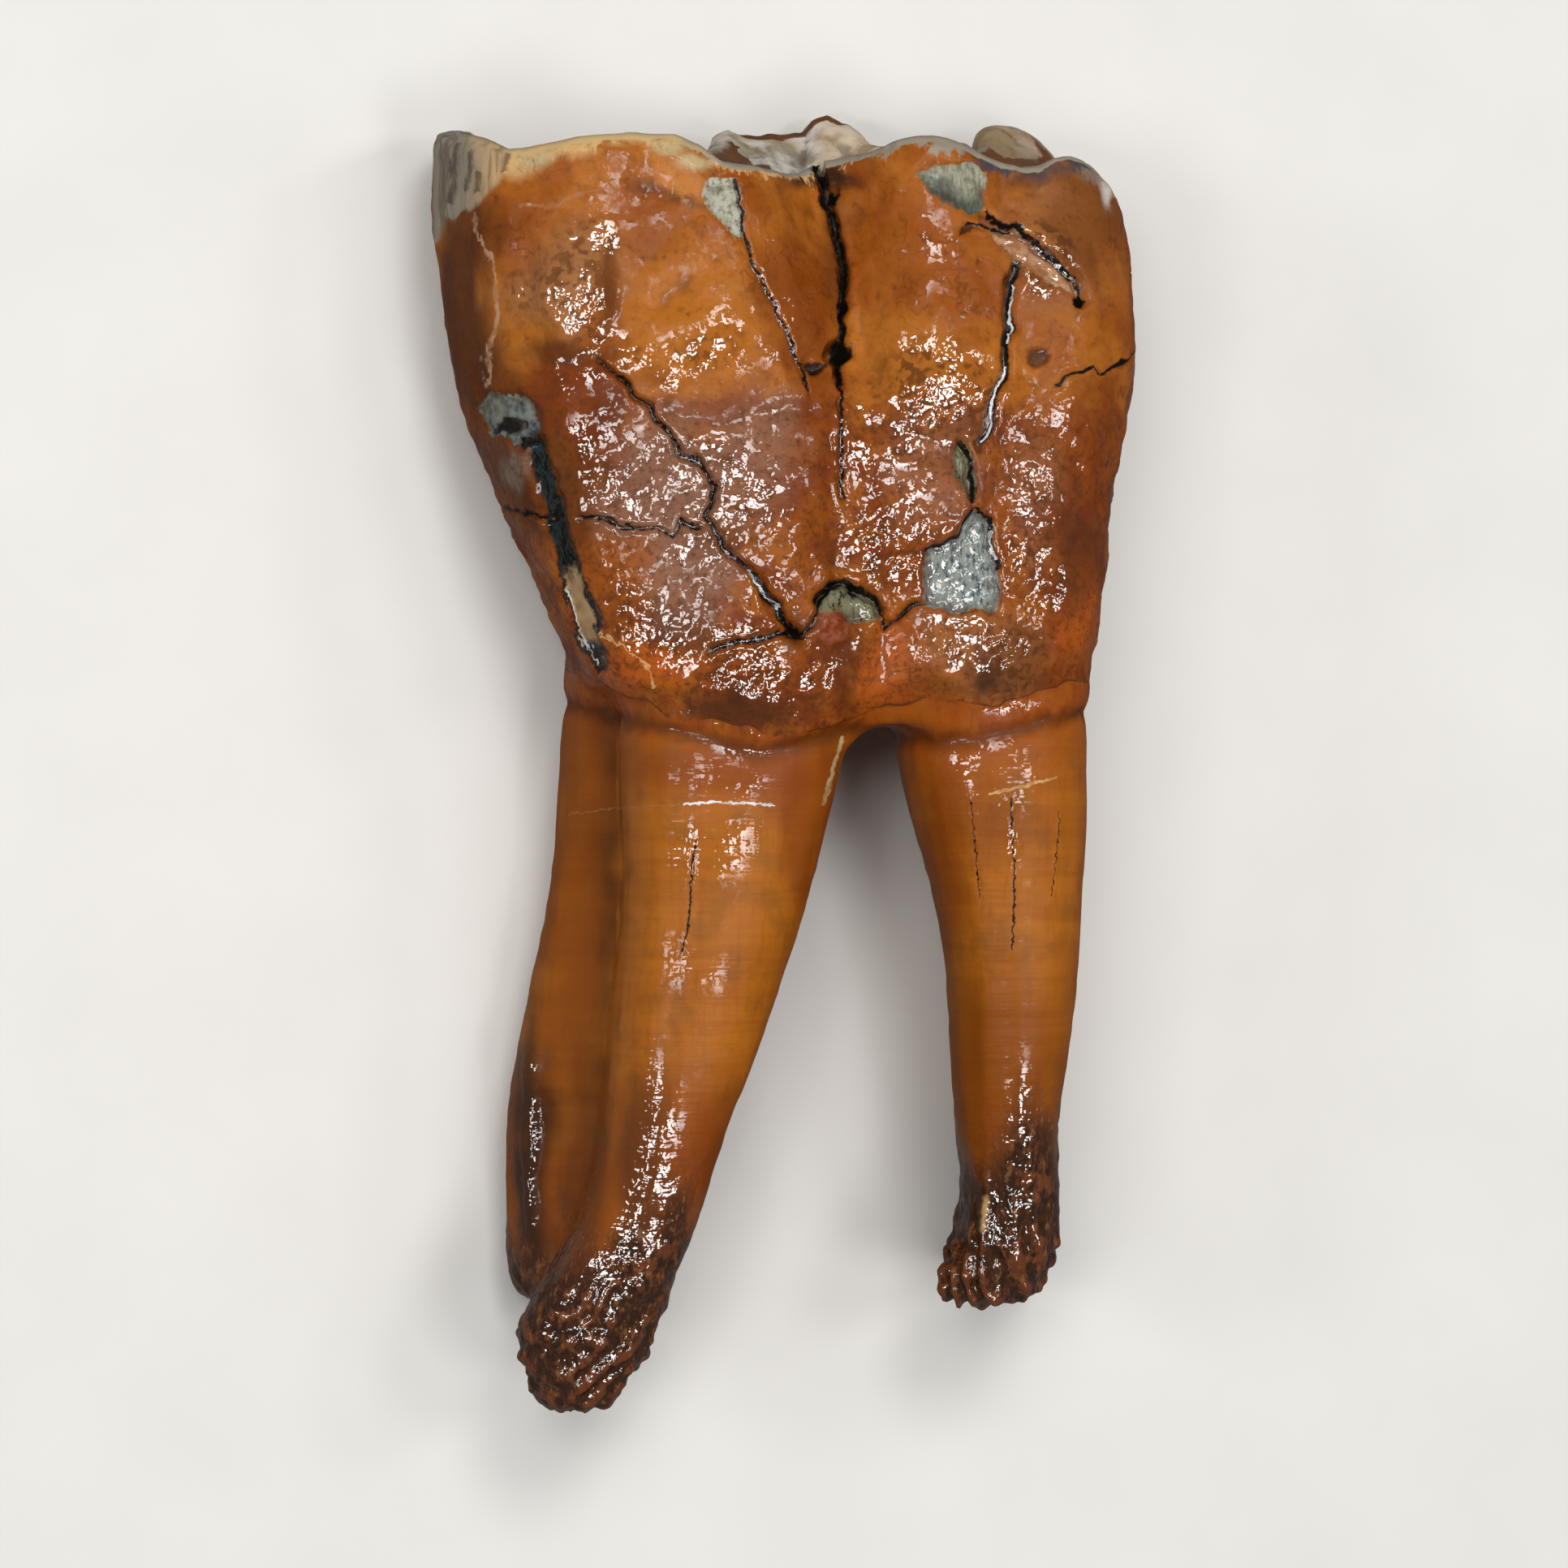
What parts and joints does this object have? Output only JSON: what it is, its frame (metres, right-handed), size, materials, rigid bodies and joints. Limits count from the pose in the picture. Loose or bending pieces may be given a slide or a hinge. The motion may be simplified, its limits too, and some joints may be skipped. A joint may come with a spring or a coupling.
{
  "type": "fossil woolly rhinoceros lower molar",
  "caption": "Worn lower molar of a woolly rhinoceros: two-lobed crown with open basins, a bulging neck and two long flattened roots, lying on its tongue side",
  "frame": {"origin": "middle of the bottom of the tooth's box, on the surface that the tooth lies on", "axes": "+X mesial, towards the front of the jaw; +Y towards the chewing surface, away from the roots; +Z buccal, towards the cheek, which faces up"},
  "size_m": [0.056, 0.105, 0.0284],
  "materials": {
    "talonid_enamel": "orange-brown fossil cement and enamel under a clear lacquer, cracked",
    "trigonid_enamel": "orange-brown fossil cement and enamel under a clear lacquer, cracked and chipped to grey enamel",
    "neck_cement": "smooth orange-brown fossil cement under a clear lacquer",
    "distal_root_dentine": "banded brown fossil dentine under a clear lacquer, dark at the tip",
    "mesial_root_dentine": "banded brown fossil dentine under a clear lacquer, dark at the tip"
  },
  "bodies": {
    "root": {"talonid": "talonid_enamel", "trigonid": "trigonid_enamel", "neck": "neck_cement", "distal_root": "distal_root_dentine", "mesial_root": "mesial_root_dentine"}
  },
  "joints": []
}
